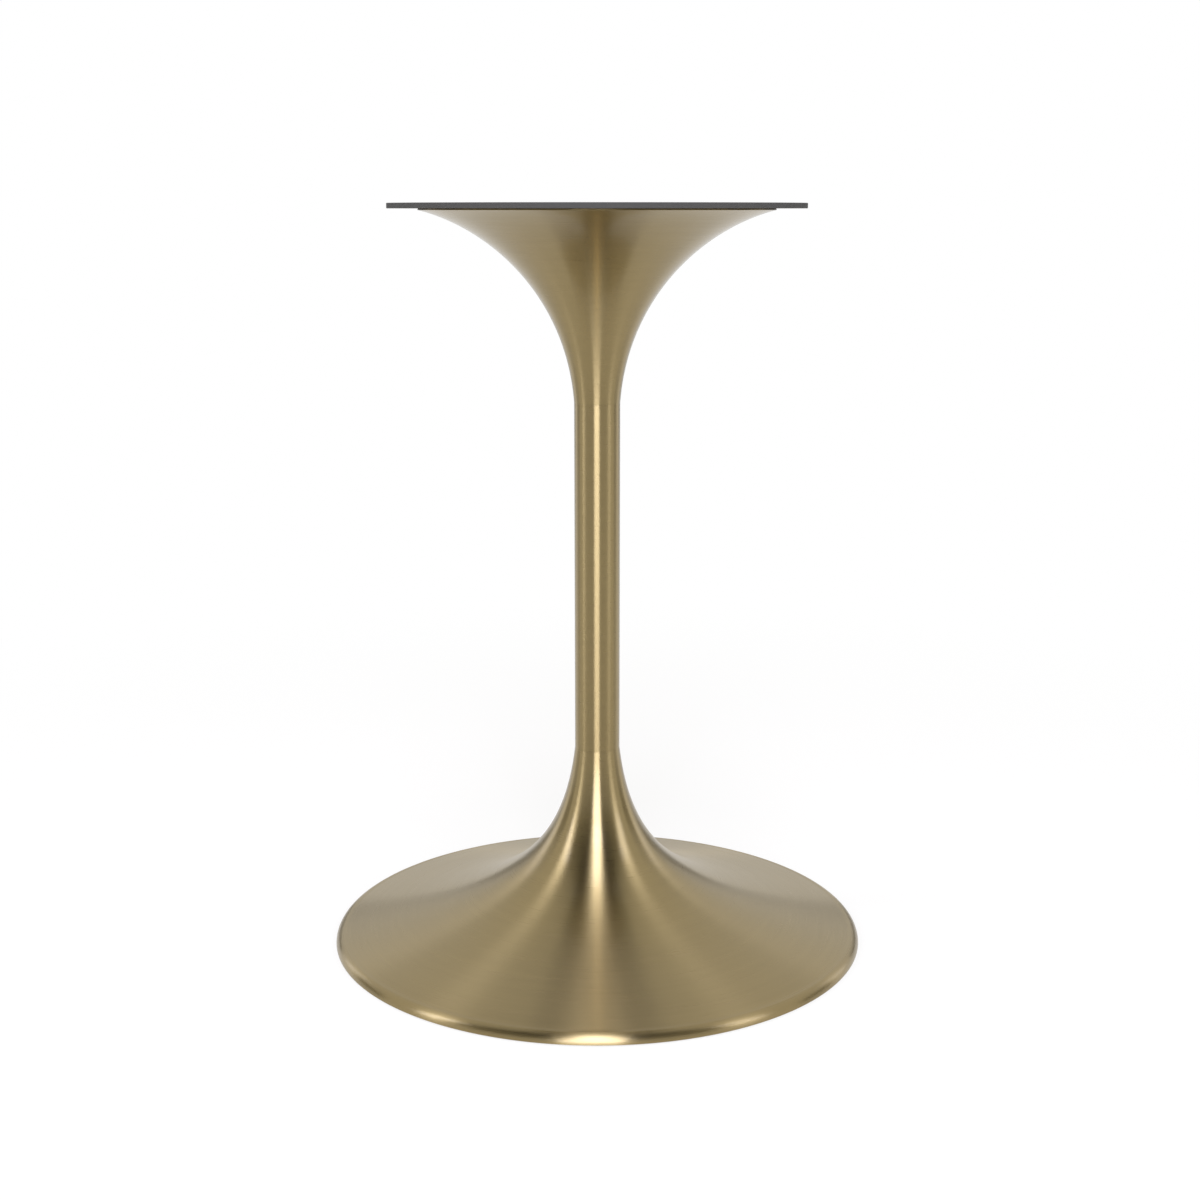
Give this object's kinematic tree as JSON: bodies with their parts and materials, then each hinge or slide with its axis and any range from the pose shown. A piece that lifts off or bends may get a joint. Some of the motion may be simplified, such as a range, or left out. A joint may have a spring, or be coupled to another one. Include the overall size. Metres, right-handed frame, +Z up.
{
  "type": "pedestal table base",
  "caption": "Round pedestal table base: wide flared foot, slim straight column and flared trumpet under a thin round mounting plate.",
  "frame": {"origin": "on the floor, on the axis of the column, at the bottom centre of the bounding box", "axes": "+Z up along the column, which is the axis of symmetry; +X through one of the tabletop screw holes"},
  "size_m": [0.524, 0.5238, 0.72],
  "materials": {
    "brushed_brass": "satin, brushed round the axis",
    "plate_coating": "fine powder coat, dark grey",
    "turned_steel": "turned steel, lightly oiled",
    "tube_steel": "drawn steel tube",
    "screw_steel": "zinc plated",
    "ring_plastic": "moulded, matt",
    "glide_plastic": "moulded, matt black"
  },
  "bodies": {
    "root": {"mounting_plate": "plate_coating", "plate_screws": "screw_steel", "plate_hub": "turned_steel", "top_trumpet": "brushed_brass", "column_tube": "brushed_brass", "foot_shell": "brushed_brass", "core_tube": "tube_steel", "tie_rod": "screw_steel", "tie_nut": "screw_steel", "tie_washer": "screw_steel", "upper_centring_ring": "ring_plastic", "lower_centring_ring": "ring_plastic", "base_hub": "turned_steel", "base_screws": "screw_steel", "base_plate": "plate_coating", "glides": "glide_plastic"}
  },
  "joints": []
}
